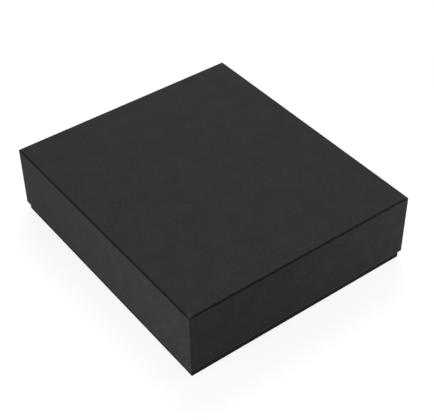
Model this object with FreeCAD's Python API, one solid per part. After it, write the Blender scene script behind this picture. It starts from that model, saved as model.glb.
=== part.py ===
import FreeCAD, Part
import os

# A rigid gift box: a deep lid that telescopes over a base tray and rests on its rim.
# Both are trays of grey board with paper stays on the corners, a covering paper and a lining sheet.
# Millimetres, +Z up. The origin is the middle of the underside, and X runs along the short side.

lid_width = 220.0        # outside of the lid along X
lid_depth = 250.0        # outside of the lid along Y
lid_height = 59.0        # outside of the lid, from its rim to its top
plinth_height = 8.0      # strip of the base that shows below the lid's rim
board_thickness = 1.2    # grey board of both trays
wrap_thickness = 0.15    # covering paper
liner_thickness = 0.15   # lining paper
slide_clearance = 0.3    # air between the lid's walls and the base's walls, on each side
fold_radius = 1.2        # outside of the covering paper round each fold of the board
rim_radius = 0.35        # outside of the covering paper where it turns over a rim
corner_gap = 0.2         # open seam between two walls of a folded blank
stay_thickness = 0.12    # gummed paper of the corner stays
stay_reach = 14.0        # how far a stay goes along each of its two walls
stay_end_gap = 1.5       # from the ends of a stay to the fold and to the rim
trim_inset = 1.6         # from a corner to the cut edge of the covering paper's end flap
trim_gap = 0.2           # width of the line that this cut edge leaves
liner_margin = 0.25      # from the lining sheets to the walls
liner_upturn = 12.0      # height of the edges that the base's lining turns up
flap_trim = 1.2          # from a corner to the cut ends of those edges

wall_thickness = board_thickness + 2 * wrap_thickness
panel_thickness = board_thickness + wrap_thickness
base_inset = wall_thickness + slide_clearance
base_width = lid_width - 2 * base_inset
base_depth = lid_depth - 2 * base_inset
total_height = plinth_height + lid_height
base_height = total_height - panel_thickness - liner_thickness


def block(width, depth, low, high):
    """A box centred on the Z axis, between two heights."""
    corner = FreeCAD.Vector(-width / 2, -depth / 2, low)
    return Part.makeBox(width, depth, high - low, corner)


def one_solid(shape):
    """The single solid that a cut leaves."""
    (solid,) = shape.Solids
    return solid


def upright_edges(solid):
    """The edges that run straight up."""
    return [edge for edge in solid.Edges if edge.tangentAt(edge.FirstParameter).z ** 2 > 0.5]


def edges_at(solid, height):
    """The edges that lie in the level plane at this height."""
    return [edge for edge in solid.Edges if all(abs(v.Z - height) < 1e-4 for v in edge.Vertexes)]


def tray(width, depth, low, high, wall, panel, fold, rim):
    """A tray that opens upwards, with its folds rounded outside and its rim rounded on both sides."""
    outside = block(width, depth, low, high)
    folds = upright_edges(outside) + edges_at(outside, low)
    outside = outside.makeFillet(fold, folds)
    hollow = block(width - 2 * wall, depth - 2 * wall, low + panel, high)
    open_tray = one_solid(outside.cut(hollow))
    return open_tray.makeFillet(rim, edges_at(open_tray, high))


def corner_stays(width, depth, height):
    """Four strips of gummed paper, each bent round an upright corner of the board and pressed in flush."""
    board_fold = fold_radius - wrap_thickness
    low = fold_radius + stay_end_gap
    high = height - rim_radius - stay_end_gap
    outside = block(width - 2 * wrap_thickness, depth - 2 * wrap_thickness, low, high)
    outside = outside.makeFillet(board_fold, upright_edges(outside))
    inset = wrap_thickness + stay_thickness
    inside = block(width - 2 * inset, depth - 2 * inset, low, high)
    inside = inside.makeFillet(board_fold - stay_thickness, upright_edges(inside))
    band = outside.cut(inside)
    stays = []
    for x_side in (-1, 1):
        for y_side in (-1, 1):
            window = block(2 * stay_reach, 2 * stay_reach, low, high)
            window.translate(FreeCAD.Vector(x_side * width / 2, y_side * depth / 2, 0))
            stays.append(one_solid(band.common(window)))
    return stays


def corner_seams(width, depth, height):
    """Thin upright cuts on the diagonals, where two walls of the blank meet without being joined."""
    cuts = []
    seam_length = 4 * wall_thickness
    for x_side in (-1, 1):
        for y_side in (-1, 1):
            seam = block(seam_length, corner_gap, panel_thickness, height)
            seam.rotate(FreeCAD.Vector(0, 0, 0), FreeCAD.Vector(0, 0, 1), 45 * x_side * y_side)
            offset = wall_thickness / 2
            middle = FreeCAD.Vector(x_side * (width / 2 - offset), y_side * (depth / 2 - offset), 0)
            seam.translate(middle)
            cuts.append(seam)
    return cuts


def trim_lines(width, depth, height):
    """Shallow upright lines where the cut edges of the end flaps lie over the tucked corners."""
    lines = []
    line_depth = wrap_thickness / 2
    for x_side in (-1, 1):
        for y_side in (-1, 1):
            line = block(trim_gap, 2 * line_depth, fold_radius, height)
            line.translate(FreeCAD.Vector(x_side * (width / 2 - trim_inset), y_side * depth / 2, 0))
            lines.append(line)
    return lines


def covered_tray(width, depth, height):
    """Board, stays and covering paper of one tray that opens upwards from height 0."""
    covered = tray(width, depth, 0, height, wall_thickness, panel_thickness, fold_radius, rim_radius)
    folded_board = tray(
        width - 2 * wrap_thickness,
        depth - 2 * wrap_thickness,
        wrap_thickness,
        height - wrap_thickness,
        board_thickness,
        board_thickness,
        fold_radius - wrap_thickness,
        rim_radius - wrap_thickness,
    )
    stays = corner_stays(width, depth, height)
    wrap = one_solid(covered.cut([folded_board] + trim_lines(width, depth, height)))
    board = one_solid(folded_board.cut(stays + corner_seams(width, depth, height)))
    return board, stays, wrap


def lining(width, depth, upturn):
    """A sheet on a tray's panel, with its edges turned up to this height and cut away at the corners."""
    inside_width = width - 2 * (wall_thickness + liner_margin)
    inside_depth = depth - 2 * (wall_thickness + liner_margin)
    high = panel_thickness + upturn
    sheet = block(inside_width, inside_depth, panel_thickness, high)
    if upturn > liner_thickness:
        sheet_top = panel_thickness + liner_thickness
        edge = 2 * liner_thickness
        cuts = [block(inside_width - edge, inside_depth - edge, sheet_top, high)]
        for x_side in (-1, 1):
            for y_side in (-1, 1):
                notch = block(2 * flap_trim, 2 * flap_trim, sheet_top, high)
                notch.translate(FreeCAD.Vector(x_side * inside_width / 2, y_side * inside_depth / 2, 0))
                cuts.append(notch)
        sheet = one_solid(sheet.cut(cuts))
    return sheet


def turned_over(solid):
    """The same piece upside down, with its underside at the top of the box."""
    lid_piece = solid.copy()
    lid_piece.rotate(FreeCAD.Vector(0, 0, 0), FreeCAD.Vector(1, 0, 0), 180)
    lid_piece.translate(FreeCAD.Vector(0, 0, total_height))
    return lid_piece


def corner_name(stay):
    end = "front" if stay.CenterOfMass.y < 0 else "back"
    side = "left" if stay.CenterOfMass.x < 0 else "right"
    return end + "_" + side


parts = {}

base_board, base_stays, base_wrap = covered_tray(base_width, base_depth, base_height)
parts["base_board"] = base_board
parts["base_wrap"] = base_wrap
parts["base_liner"] = lining(base_width, base_depth, liner_upturn)
for stay in base_stays:
    parts["base_stay_" + corner_name(stay)] = stay

lid_board, lid_stays, lid_wrap = covered_tray(lid_width, lid_depth, lid_height)
parts["lid_board"] = turned_over(lid_board)
parts["lid_wrap"] = turned_over(lid_wrap)
parts["lid_liner"] = turned_over(lining(lid_width, lid_depth, liner_thickness))
for stay in map(turned_over, lid_stays):
    parts["lid_stay_" + corner_name(stay)] = stay

os.makedirs("parts", exist_ok=True)
for node, shape in parts.items():
    shape.exportStep("parts/" + node + ".step")
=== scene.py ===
import math
import bmesh
import bpy
from mathutils import Matrix, Vector


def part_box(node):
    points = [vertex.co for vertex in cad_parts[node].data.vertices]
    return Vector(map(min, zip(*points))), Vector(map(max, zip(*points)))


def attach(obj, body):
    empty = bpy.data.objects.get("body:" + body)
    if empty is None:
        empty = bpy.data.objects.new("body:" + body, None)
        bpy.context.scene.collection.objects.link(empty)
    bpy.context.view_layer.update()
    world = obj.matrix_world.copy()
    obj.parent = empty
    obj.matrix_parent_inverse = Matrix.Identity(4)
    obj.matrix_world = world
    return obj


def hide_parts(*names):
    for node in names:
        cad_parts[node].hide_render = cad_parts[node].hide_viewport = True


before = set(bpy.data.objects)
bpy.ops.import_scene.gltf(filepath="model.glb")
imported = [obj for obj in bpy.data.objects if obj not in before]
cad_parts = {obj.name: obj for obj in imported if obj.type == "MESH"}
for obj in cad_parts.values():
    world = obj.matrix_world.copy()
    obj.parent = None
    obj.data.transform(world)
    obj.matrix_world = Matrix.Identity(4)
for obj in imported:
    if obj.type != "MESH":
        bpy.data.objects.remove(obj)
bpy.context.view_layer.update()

# Base and lid boards
# The two trays are blanks of solid grey board, scored, folded up and left open at the corners.
# Papers and linings hide them, so they keep their shape and only take the look of recycled board.
board_tone = (0.30, 0.29, 0.27, 1.0)
board_fleck_tone = (0.19, 0.18, 0.16, 1.0)
board_fleck_size = 0.0012
board_fleck_detail = 4.0
board_fleck_level = 0.36
board_plain_level = 0.6
board_fleck_height = 0.00006
board_roughness = 0.95


def new_material(name):
    """A node material, with its nodes, its links and its principled shader."""
    material = bpy.data.materials.new(name)
    material.use_nodes = True
    nodes = material.node_tree.nodes
    return material, nodes, material.node_tree.links, nodes["Principled BSDF"]


def noise_value(nodes, links, size, detail, stretch=(1.0, 1.0, 1.0), roughness=0.5):
    """Noise on the piece's own coordinates, with features of about this size in metres."""
    place = nodes.new("ShaderNodeTexCoord")
    mapping = nodes.new("ShaderNodeMapping")
    mapping.inputs["Scale"].default_value = stretch
    texture = nodes.new("ShaderNodeTexNoise")
    texture.inputs["Scale"].default_value = 1.0 / size
    texture.inputs["Detail"].default_value = detail
    texture.inputs["Roughness"].default_value = roughness
    links.new(place.outputs["Object"], mapping.inputs["Vector"])
    links.new(mapping.outputs["Vector"], texture.inputs["Vector"])
    return texture.outputs["Fac"]


def toned(nodes, links, value, dark_level, dark, light_level, light):
    """A colour that goes from dark to light between two levels of a value."""
    ramp = nodes.new("ShaderNodeValToRGB")
    first, last = ramp.color_ramp.elements
    first.position = dark_level
    first.color = dark
    last.position = light_level
    last.color = light
    links.new(value, ramp.inputs["Fac"])
    return ramp.outputs["Color"]


def bumped(nodes, links, value, height, below=None):
    """Normals of a bump of this height in metres, laid over the bump below where one is given."""
    bump = nodes.new("ShaderNodeBump")
    bump.inputs["Strength"].default_value = 1.0
    bump.inputs["Distance"].default_value = height
    links.new(value, bump.inputs["Height"])
    if below is not None:
        links.new(below, bump.inputs["Normal"])
    return bump.outputs["Normal"]


def paint(node_names, material):
    """Gives CAD nodes one material in all their slots."""
    for name in node_names:
        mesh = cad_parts[name].data
        mesh.materials.clear()
        mesh.materials.append(material)


def grey_board():
    """Recycled board: dull grey with darker flecks that stand out a little."""
    material, nodes, links, shader = new_material("grey_board")
    flecks = noise_value(nodes, links, board_fleck_size, board_fleck_detail)
    tone = toned(nodes, links, flecks, board_fleck_level, board_fleck_tone, board_plain_level, board_tone)
    links.new(tone, shader.inputs["Base Color"])
    links.new(bumped(nodes, links, flecks, board_fleck_height), shader.inputs["Normal"])
    shader.inputs["Roughness"].default_value = board_roughness
    return material


paint(["base_board", "lid_board"], grey_board())

# Corner stays
# Eight strips of gummed brown paper hold the cut corners of the two boards.
# Each is bent round its corner and pressed flush into the board, under the covering paper.
stay_tone = (0.42, 0.29, 0.17, 1.0)
stay_dark_tone = (0.31, 0.20, 0.11, 1.0)
stay_fibre_size = 0.0015
stay_fibre_detail = 3.0
stay_fibre_stretch = (1.0, 1.0, 0.2)
stay_dark_level = 0.35
stay_light_level = 0.65
stay_fibre_height = 0.00003
stay_roughness = 0.7
tray_names = ("base", "lid")
corner_names = ("front_left", "front_right", "back_left", "back_right")


def stay_paper():
    """Brown paper whose fibres run up and down."""
    material, nodes, links, shader = new_material("gummed_stay_paper")
    fibres = noise_value(nodes, links, stay_fibre_size, stay_fibre_detail, stretch=stay_fibre_stretch)
    tone = toned(nodes, links, fibres, stay_dark_level, stay_dark_tone, stay_light_level, stay_tone)
    links.new(tone, shader.inputs["Base Color"])
    links.new(bumped(nodes, links, fibres, stay_fibre_height), shader.inputs["Normal"])
    shader.inputs["Roughness"].default_value = stay_roughness
    return material


paint([tray + "_stay_" + corner for tray in tray_names for corner in corner_names], stay_paper())

# Covering papers
# One sheet of black dyed paper is glued over each tray's panel and walls, and turned in over the rim.
# Its folds, its trim lines and the base's walls are painted darker as shade, its corners and the base's
# rim are rubbed pale, and the lid's rim is painted pale as a highlight.
paper_thickness = 0.00015
wall_thickness = 0.0015
fold_radius = 0.0012
fold_segments = 6
corner_radius = 0.0005
rim_radius = 0.00035
rim_segments = 4
rim_angle = 1.0
trim_inset = 0.0016
trim_width = 0.0003
trim_depth = 0.00008
# The values below set painted shade: a darker tone along the trim lines, along the folds and over the
# base's walls.
trim_shade_reach = 0.0005
trim_painted_shade = 1.0
fold_shade_reach = 0.002
fold_shade_full = 0.0008
base_wall_painted_shade = 0.95
lid_wall_painted_shade = 0.0
shade_least = 0.75
shade_least_level = 0.3
shade_full_level = 0.7
tip_wear_place = 0.0018
tip_wear_reach = 0.003
tip_wear = 0.7
# Along the rim, the pale tone is wear on the base and a painted highlight on the lid.
rim_wear_and_highlight_reach = 0.0016
base_rim_wear = 0.4
lid_rim_highlight = 1.0
cloud_size = 0.016
cloud_detail = 4.0
cloud_roughness = 0.65
cloud_share = 0.33
fibre_size = 0.0016
fibre_detail = 5.0
fibre_stretch = (1.0, 0.55, 1.0)
fibre_share = 0.78
fibre_height = 0.00002
tooth_size = 0.0005
tooth_detail = 2.0
tooth_height = 0.000012
handled_gain = 0.45
tone_spread = 0.18
paper_dark = (0.0220, 0.0220, 0.0222, 1.0)
paper_light = (0.0380, 0.0380, 0.0382, 1.0)
# The darker colour painted as shade.
paper_painted_shade = (0.0070, 0.0070, 0.0071, 1.0)
# The pale colour of wear, also painted along the lid's rim as a highlight.
paper_pale_wear_and_highlight = (0.1100, 0.1100, 0.1090, 1.0)
paper_roughness_least = 0.55
paper_roughness_most = 0.72
paper_gloss = 0.05
flat_face_weight = 100
wall_facing = 0.99
least_spread = 1e-4
same_place = 1e-6
cut_tolerance = 1e-7


def math_value(nodes, links, operation, *terms):
    """The result of a math node whose terms are numbers or other nodes' outputs."""
    node = nodes.new("ShaderNodeMath")
    node.operation = operation
    for socket, term in zip(node.inputs, terms):
        if isinstance(term, bpy.types.NodeSocket):
            links.new(term, socket)
        else:
            socket.default_value = term
    return node.outputs["Value"]


def range_value(nodes, links, value, low, high, least, most):
    """A value moved from the range between low and high to the range between least and most."""
    moved = nodes.new("ShaderNodeMapRange")
    moved.inputs["From Min"].default_value = low
    moved.inputs["From Max"].default_value = high
    moved.inputs["To Min"].default_value = least
    moved.inputs["To Max"].default_value = most
    links.new(value, moved.inputs["Value"])
    return moved.outputs["Result"]


def sheet_mark(nodes, name):
    """A value written on the sheet's points, or zero on a sheet without it."""
    mark = nodes.new("ShaderNodeAttribute")
    mark.attribute_name = name
    return mark.outputs["Fac"]


def mixed(nodes, links, share, colour, other):
    """A node's colour, with this share of another colour mixed in."""
    mix = nodes.new("ShaderNodeMix")
    mix.data_type = "RGBA"
    mix.inputs["B"].default_value = other
    links.new(share, mix.inputs["Factor"])
    links.new(colour, mix.inputs["A"])
    return mix.outputs["Result"]


def black_paper(name, dark, light):
    """Matte paper dyed through: dye clouds, short fibres, a fine tooth, painted shade, pale wear and a
    painted highlight.
    """
    material, nodes, links, shader = new_material(name)
    clouds = noise_value(nodes, links, cloud_size, cloud_detail, roughness=cloud_roughness)
    fibres = noise_value(nodes, links, fibre_size, fibre_detail, stretch=fibre_stretch)
    tooth = noise_value(nodes, links, tooth_size, tooth_detail)

    # The mottle is stronger on walls that hands have held.
    cloud_part = math_value(nodes, links, "MULTIPLY", clouds, cloud_share)
    blend = math_value(nodes, links, "MULTIPLY_ADD", fibres, fibre_share, cloud_part)
    middle = (cloud_share + fibre_share) / 2
    departure = math_value(nodes, links, "SUBTRACT", blend, middle)
    gain = math_value(nodes, links, "MULTIPLY_ADD", sheet_mark(nodes, "handled"), handled_gain, 1.0)
    mottle = math_value(nodes, links, "MULTIPLY_ADD", departure, gain, middle)
    dyed = toned(nodes, links, mottle, middle - tone_spread, dark, middle + tone_spread, light)

    # The painted shade, the pale wear and the painted highlight follow the fibres, so none of them is
    # even.
    uneven = range_value(nodes, links, fibres, shade_least_level, shade_full_level, shade_least, 1.0)
    painted_shade = math_value(nodes, links, "MULTIPLY", sheet_mark(nodes, "painted_shade"), uneven)
    with_painted_shade = mixed(nodes, links, painted_shade, dyed, paper_painted_shade)
    wear_and_highlight = math_value(nodes, links, "MULTIPLY", sheet_mark(nodes, "wear_and_highlight"), fibres)
    pale_wear_and_highlight = mixed(nodes, links, wear_and_highlight, with_painted_shade, paper_pale_wear_and_highlight)
    links.new(pale_wear_and_highlight, shader.inputs["Base Color"])

    roughness = range_value(nodes, links, fibres, 0.0, 1.0, paper_roughness_least, paper_roughness_most)
    links.new(roughness, shader.inputs["Roughness"])
    shader.inputs["Specular IOR Level"].default_value = paper_gloss
    felt = bumped(nodes, links, fibres, fibre_height)
    links.new(bumped(nodes, links, tooth, tooth_height, below=felt), shader.inputs["Normal"])
    return material


def finish_piece(work, name, body, node, material):
    """Makes a worked sheet a piece of the paper's thickness that replaces its CAD node."""
    mesh = bpy.data.meshes.new(name)
    work.to_mesh(mesh)
    work.free()
    mesh.shade_smooth()
    mesh.materials.append(material)
    piece = bpy.data.objects.new(name, mesh)
    bpy.context.scene.collection.objects.link(piece)
    sheet = piece.modifiers.new("paper", "SOLIDIFY")
    sheet.thickness = paper_thickness
    sheet.offset = -1.0
    flat = piece.modifiers.new("flat_faces", "WEIGHTED_NORMAL")
    flat.weight = flat_face_weight
    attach(piece, body)
    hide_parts(node)


def rim_and_panel(low, high, opens):
    """Heights of a tray's rim and panel; opens is 1 for a tray that opens upwards, and -1 for the lid."""
    return (high.z, low.z) if opens > 0 else (low.z, high.z)


def new_points(extruded):
    """The vertices among what an extrusion made."""
    return [part for part in extruded["geom"] if isinstance(part, bmesh.types.BMVert)]


def face_outwards(work, panel_up):
    """Turns all faces so that the panel, the largest of them, faces up or down as asked."""
    bmesh.ops.recalc_face_normals(work, faces=work.faces)
    panel = max(work.faces, key=lambda face: face.calc_area())
    if (panel.normal.z > 0) != panel_up:
        bmesh.ops.reverse_faces(work, faces=work.faces)


def folded_box(low, high, opens):
    """A sheet folded to a box that is open on one side, with upright corners crisper than its folds."""
    size = high - low
    half = size / 2
    middle = (low + high) / 2
    rim_z, panel_z = rim_and_panel(low, high, opens)
    work = bmesh.new()
    place = Matrix.Translation(middle) @ Matrix.Diagonal((*size, 1.0))
    bmesh.ops.create_cube(work, size=1.0, matrix=place)
    open_side = [face for face in work.faces if abs(face.calc_center_median().z - rim_z) < fold_radius]
    bmesh.ops.delete(work, geom=open_side, context="FACES_ONLY")
    folds = [edge for edge in work.edges if not edge.is_boundary]
    bmesh.ops.bevel(work, geom=folds, offset=fold_radius, offset_type="OFFSET", affect="EDGES",
                    segments=fold_segments, profile=0.5, material=-1)

    # Each point round an upright corner moves out from the fold's radius to the corner's own.
    both_ways = Vector((1.0, 1.0))
    for vert in work.verts:
        rise = max(0.0, 1.0 - abs(vert.co.z - panel_z) / fold_radius)
        spread = math.sqrt(max(0.0, 1.0 - rise * rise))
        across = Vector((abs(vert.co.x - middle.x), abs(vert.co.y - middle.y)))
        reach = across - half.xy + both_ways * fold_radius
        if min(reach) > -cut_tolerance and spread > least_spread:
            turn = reach.normalized() if reach.length > cut_tolerance else Vector((0.0, 0.0))
            across = half.xy - both_ways * fold_radius * (1.0 - spread)
            across -= (both_ways - turn) * corner_radius * spread
            vert.co.x = middle.x + math.copysign(across.x, vert.co.x - middle.x)
            vert.co.y = middle.y + math.copysign(across.y, vert.co.y - middle.y)
    return work


def turn_in(work, low, high, opens):
    """Turns the sheet over the rim and along the inside of the walls to the panel."""
    middle = (low + high) / 2
    rim_z, panel_z = rim_and_panel(low, high, opens)
    inner = (high - low).xy / 2 - Vector((wall_thickness, wall_thickness))
    open_edges = [edge for edge in work.edges if edge.is_boundary]
    over_rim = new_points(bmesh.ops.extrude_edge_only(work, edges=open_edges))
    for vert in over_rim:
        vert.co.x = middle.x + max(-inner.x, min(inner.x, vert.co.x - middle.x))
        vert.co.y = middle.y + max(-inner.y, min(inner.y, vert.co.y - middle.y))
    bmesh.ops.remove_doubles(work, verts=over_rim, dist=same_place)
    open_edges = [edge for edge in work.edges if edge.is_boundary]
    for vert in new_points(bmesh.ops.extrude_edge_only(work, edges=open_edges)):
        vert.co.z = panel_z + opens * (wall_thickness - paper_thickness)
    rims = [edge for edge in work.edges
            if all(abs(vert.co.z - rim_z) < same_place for vert in edge.verts)
            and edge.calc_face_angle(0.0) > rim_angle]
    bmesh.ops.bevel(work, geom=rims, offset=rim_radius, offset_type="OFFSET", affect="EDGES",
                    segments=rim_segments, profile=0.5, material=-1)
    face_outwards(work, panel_up=opens < 0)


def trim_lines(work, low, high):
    """Presses in the upright lines where the cut edges of the end flaps lie over the tucked corners."""
    middle = (low + high) / 2
    strip = (-trim_shade_reach, -trim_width / 2, 0.0, trim_width / 2, trim_shade_reach)
    for side in (-1, 1):
        line_x = middle.x + side * ((high.x - low.x) / 2 - trim_inset)
        for across in strip:
            end_walls = []
            for face in work.faces:
                from_end = min(abs(face.calc_center_median().y - end) for end in (low.y, high.y))
                if abs(face.normal.y) > wall_facing and from_end < same_place:
                    end_walls.append(face)
            parts = [part for face in end_walls for part in (face, *face.edges, *face.verts)]
            bmesh.ops.bisect_plane(work, geom=list(dict.fromkeys(parts)), dist=cut_tolerance,
                                   plane_co=(line_x + across, 0.0, 0.0), plane_no=(1.0, 0.0, 0.0))
        for vert in work.verts:
            if abs(vert.co.x - line_x) < same_place:
                if abs(vert.co.y - low.y) < same_place:
                    vert.co.y += trim_depth
                elif abs(vert.co.y - high.y) < same_place:
                    vert.co.y -= trim_depth


def cut_strips(work, low, high, opens):
    """Cuts the sheet where its strips of painted shade, pale wear and painted highlight end, so that there
    are points to mark.
    """
    half = (high - low) / 2
    rim_z, panel_z = rim_and_panel(low, high, opens)
    cuts = [((0.0, 0.0, rim_z - opens * rim_wear_and_highlight_reach), (0.0, 0.0, 1.0))]
    for reach in (fold_shade_reach, tip_wear_place + tip_wear_reach):
        cuts += [((side * (half.x - reach), 0.0, 0.0), (1.0, 0.0, 0.0)) for side in (-1, 1)]
        cuts += [((0.0, side * (half.y - reach), 0.0), (0.0, 1.0, 0.0)) for side in (-1, 1)]
        cuts += [((0.0, 0.0, panel_z + opens * reach), (0.0, 0.0, 1.0))]
    for place, normal in cuts:
        everything = [*work.verts, *work.edges, *work.faces]
        bmesh.ops.bisect_plane(work, geom=everything, dist=cut_tolerance, plane_co=place, plane_no=normal)


def mark_shade_highlight_and_wear(work, low, high, opens, wall_painted_shade, rim_wear_and_highlight):
    """Writes on the sheet's points how much painted shade, pale wear and painted highlight they get, and
    how far they are handled.
    """
    half = (high - low) / 2
    middle = (low + high) / 2
    rim_z, panel_z = rim_and_panel(low, high, opens)
    painted_shade = work.verts.layers.float.new("painted_shade")
    wear_and_highlight = work.verts.layers.float.new("wear_and_highlight")
    handled = work.verts.layers.float.new("handled")
    for vert in work.verts:
        inset = Vector((half.x - abs(vert.co.x - middle.x), half.y - abs(vert.co.y - middle.y)))
        depth = abs(vert.co.z - panel_z)
        on_wall = min(inset) < wall_thickness / 2

        # Painted shade, a darker tone: along the folds, over a tray's walls where it is given (the base's,
        # as shade under the lid's overhang), and on the trim lines.
        from_fold = abs(depth - min(inset))
        fold_shade_share = (fold_shade_reach - from_fold) / (fold_shade_reach - fold_shade_full)
        fold_shade_share = min(1.0, max(0.0, fold_shade_share)) if on_wall or depth < fold_radius else 0.0
        wall_shade_share = wall_painted_shade if on_wall else 0.0
        on_trim = abs(inset.x - trim_inset) < same_place and inset.y < 2 * trim_depth
        vert[painted_shade] = max(fold_shade_share, wall_shade_share, trim_painted_shade if on_trim else 0.0)

        # Pale wear at the panel's corners and along the base's rim, and a painted highlight along the
        # lid's rim.
        from_tip = Vector((inset.x - tip_wear_place, inset.y - tip_wear_place, depth)).length
        tip_share = max(0.0, 1.0 - from_tip / tip_wear_reach) if depth < fold_radius / 2 else 0.0
        rim_share = max(0.0, 1.0 - abs(vert.co.z - rim_z) / rim_wear_and_highlight_reach) if on_wall else 0.0
        vert[wear_and_highlight] = max(tip_wear * tip_share, rim_wear_and_highlight * rim_share)

        vert[handled] = 1.0 if on_wall else 0.0


wrap_paper = black_paper("black_covering_paper", paper_dark, paper_light)
trays = (("base", 1, base_wall_painted_shade, base_rim_wear), ("lid", -1, lid_wall_painted_shade, lid_rim_highlight))
for tray, opens, wall_painted_shade, rim_wear_and_highlight in trays:
    low, high = [Vector(corner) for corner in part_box(tray + "_wrap")]
    sheet = folded_box(low, high, opens)
    turn_in(sheet, low, high, opens)
    trim_lines(sheet, low, high)
    cut_strips(sheet, low, high, opens)
    mark_shade_highlight_and_wear(sheet, low, high, opens, wall_painted_shade, rim_wear_and_highlight)
    finish_piece(sheet, tray + "_covering_paper", tray, tray + "_wrap", wrap_paper)

# Linings
# A black sheet lies on the base's floor with its four edges turned up, and another under the lid's top.
# They are glued in last and hide the ends of the covering paper.
crease_radius = 0.0003
crease_steps = 4
flap_trim = 0.0012
lining_dark = (0.0170, 0.0170, 0.0172, 1.0)
lining_light = (0.0240, 0.0240, 0.0242, 1.0)


def crease_moves(outward, height):
    """Where the edge of a flap goes from its crease: step by step round the bend, and then straight up."""
    moves = []
    for step in range(1, crease_steps + 1):
        angle = math.pi / 2 * step / crease_steps
        bend = outward * math.sin(angle) + Vector((0.0, 0.0, 1.0 - math.cos(angle)))
        moves.append(bend * crease_radius)
    moves.append(outward * crease_radius + Vector((0.0, 0.0, height)))
    return moves


def lining_sheet(low, high):
    """A sheet on the floor whose four flaps are creased up along the walls, each cut short at its ends."""
    size = high - low
    middle = (low + high) / 2
    floor_z = low.z + paper_thickness
    flat = Vector((size.x - 2 * crease_radius, size.y - 2 * crease_radius, 1.0, 1.0))
    place = Matrix.Translation((middle.x, middle.y, floor_z)) @ Matrix.Diagonal(flat)
    work = bmesh.new()
    bmesh.ops.create_grid(work, x_segments=1, y_segments=1, size=0.5, matrix=place)
    for crease in list(work.edges):
        starts = [vert.co.copy() for vert in crease.verts]
        crease_middle = (starts[0] + starts[1]) / 2
        line = starts[1] - starts[0]
        outward = Vector((-line.y, line.x, 0.0)).normalized()
        outward *= math.copysign(1.0, outward.dot(crease_middle - middle))
        end = crease
        for move in crease_moves(outward, high.z - floor_z):
            last_points = list(end.verts)
            turned = bmesh.ops.extrude_edge_only(work, edges=[end])["geom"]
            end = next(part for part in turned if isinstance(part, bmesh.types.BMEdge)
                       and all(vert not in last_points for vert in part.verts))
            end_middle = (end.verts[0].co + end.verts[1].co) / 2
            for vert in end.verts:
                start = min(starts, key=lambda point: (point.xy - vert.co.xy).length)
                inwards = (end_middle - vert.co).normalized() * flap_trim
                vert.co = start + move + Vector((inwards.x, inwards.y, 0.0))
    face_outwards(work, panel_up=True)
    return work


lining_paper = black_paper("black_lining_paper", lining_dark, lining_light)
low, high = [Vector(corner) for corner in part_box("base_liner")]
base_lining = lining_sheet(low, high)
finish_piece(base_lining, "base_lining_paper", "base", "base_liner", lining_paper)
paint(["lid_liner"], lining_paper)

# Table and backdrop
# The box stands on a wide pale table in front of a white backdrop; neither belongs to the part.
# The camera sees both as white, while the box itself gets the light of a dim room and of the table.
table_radius = 4.0
table_segments = 64
table_gap = 0.00005
table_tone = (0.85, 0.85, 0.85, 1.0)
table_roughness = 1.0
table_gloss = 0.0
table_shade = (0.2, 0.2, 0.2, 1.0)
table_white = 0.88
room_tone = (0.08, 0.08, 0.08, 1.0)
backdrop_tone = (1.0, 1.0, 1.0, 1.0)


def seen_rays(nodes, links):
    """One for rays on which the white background is seen: from the camera, in gloss and through glass."""
    path = nodes.new("ShaderNodeLightPath").outputs
    gloss = math_value(nodes, links, "MAXIMUM", path["Is Camera Ray"], path["Is Glossy Ray"])
    return math_value(nodes, links, "MAXIMUM", gloss, path["Is Transmission Ray"])


def by_ray(nodes, links, lit, seen):
    """A shader that lights the box as one thing and is seen as another."""
    choose = nodes.new("ShaderNodeMixShader")
    links.new(seen_rays(nodes, links), choose.inputs["Fac"])
    links.new(lit, choose.inputs[1])
    links.new(seen, choose.inputs[2])
    return choose.outputs["Shader"]


def pale_table():
    """A round table top, just below the box, that looks white and keeps the box's shadow."""
    work = bmesh.new()
    bmesh.ops.create_circle(work, cap_ends=True, radius=table_radius, segments=table_segments)
    mesh = bpy.data.meshes.new("table")
    work.to_mesh(mesh)
    work.free()
    material, nodes, links, surface = new_material("pale_table")
    surface.inputs["Base Color"].default_value = table_tone
    surface.inputs["Roughness"].default_value = table_roughness
    surface.inputs["Specular IOR Level"].default_value = table_gloss
    shaded = nodes.new("ShaderNodeBsdfDiffuse")
    shaded.inputs["Color"].default_value = table_shade
    white = nodes.new("ShaderNodeEmission")
    white.inputs["Strength"].default_value = table_white
    bright = nodes.new("ShaderNodeAddShader")
    links.new(shaded.outputs["BSDF"], bright.inputs[0])
    links.new(white.outputs["Emission"], bright.inputs[1])
    top = by_ray(nodes, links, surface.outputs["BSDF"], bright.outputs["Shader"])
    links.new(top, nodes["Material Output"].inputs["Surface"])
    mesh.materials.append(material)
    table = bpy.data.objects.new("table", mesh)
    table.location.z = -table_gap
    bpy.context.scene.collection.objects.link(table)


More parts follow.
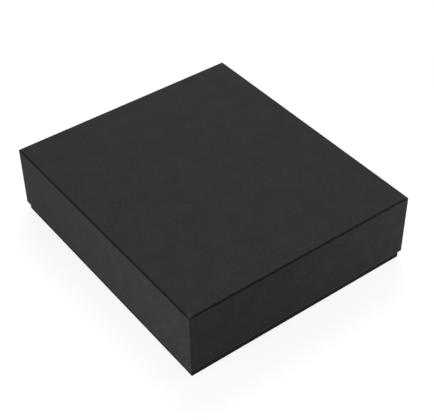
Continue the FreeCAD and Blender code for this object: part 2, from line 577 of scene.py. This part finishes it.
def studio_room():
    """A dim room that looks like a white backdrop."""
    world = bpy.data.worlds.new("studio")
    bpy.context.scene.world = world
    world.use_nodes = True
    nodes = world.node_tree.nodes
    links = world.node_tree.links
    room = nodes["Background"]
    room.inputs["Color"].default_value = room_tone
    backdrop = nodes.new("ShaderNodeBackground")
    backdrop.inputs["Color"].default_value = backdrop_tone
    surround = by_ray(nodes, links, room.outputs["Background"], backdrop.outputs["Background"])
    links.new(surround, nodes["World Output"].inputs["Surface"])


pale_table()
studio_room()

# Lamps
# A large soft box high behind the box lights its top, and a small one hangs over its near end.
# Two small ones stand low, one beside each wall that the camera sees.
lamp_aim = Vector((0.0, 0.0, 0.03))


def soft_box(name, place, width, height, power):
    """A rectangular lamp that faces the middle of the box."""
    lamp = bpy.data.lights.new(name, "AREA")
    lamp.shape = "RECTANGLE"
    lamp.size = width
    lamp.size_y = height
    lamp.energy = power
    holder = bpy.data.objects.new(name, lamp)
    holder.location = place
    holder.rotation_euler = (lamp_aim - Vector(place)).to_track_quat("-Z", "Y").to_euler()
    holder.visible_camera = False
    bpy.context.scene.collection.objects.link(holder)


soft_box("back_soft_box", place=(1.0, 1.35, 2.45), width=1.6, height=1.2, power=56.3)
soft_box("front_soft_box", place=(-0.12, -0.20, 0.60), width=0.3, height=0.3, power=0.34)
soft_box("left_soft_box", place=(-0.42, -0.14, 0.10), width=0.2, height=0.16, power=0.64)
soft_box("right_soft_box", place=(0.28, -0.34, 0.10), width=0.16, height=0.12, power=0.45)

# Camera
# It looks down on the near left corner of the box through a long lens.
# It stands about 0.7 m away along the table and 0.64 m above it, and is turned by less than a degree.
camera_place = Vector((-0.41060, -0.56689, 0.64156))
camera_aim = Vector((0.00345, -0.00735, 0.02886))
camera_roll = math.radians(-0.769)
camera_lens = 89.852
camera_sensor = 36.0

camera_data = bpy.data.cameras.new("camera")
camera_data.sensor_fit = "HORIZONTAL"
camera_data.sensor_width = camera_sensor
camera_data.lens = camera_lens
camera = bpy.data.objects.new("camera", camera_data)
look = (camera_aim - camera_place).to_track_quat("-Z", "Y").to_matrix().to_4x4()
camera.matrix_world = Matrix.Translation(camera_place) @ look @ Matrix.Rotation(camera_roll, 4, "Z")
bpy.context.scene.collection.objects.link(camera)
bpy.context.scene.camera = camera
bpy.context.scene.view_settings.view_transform = "Standard"
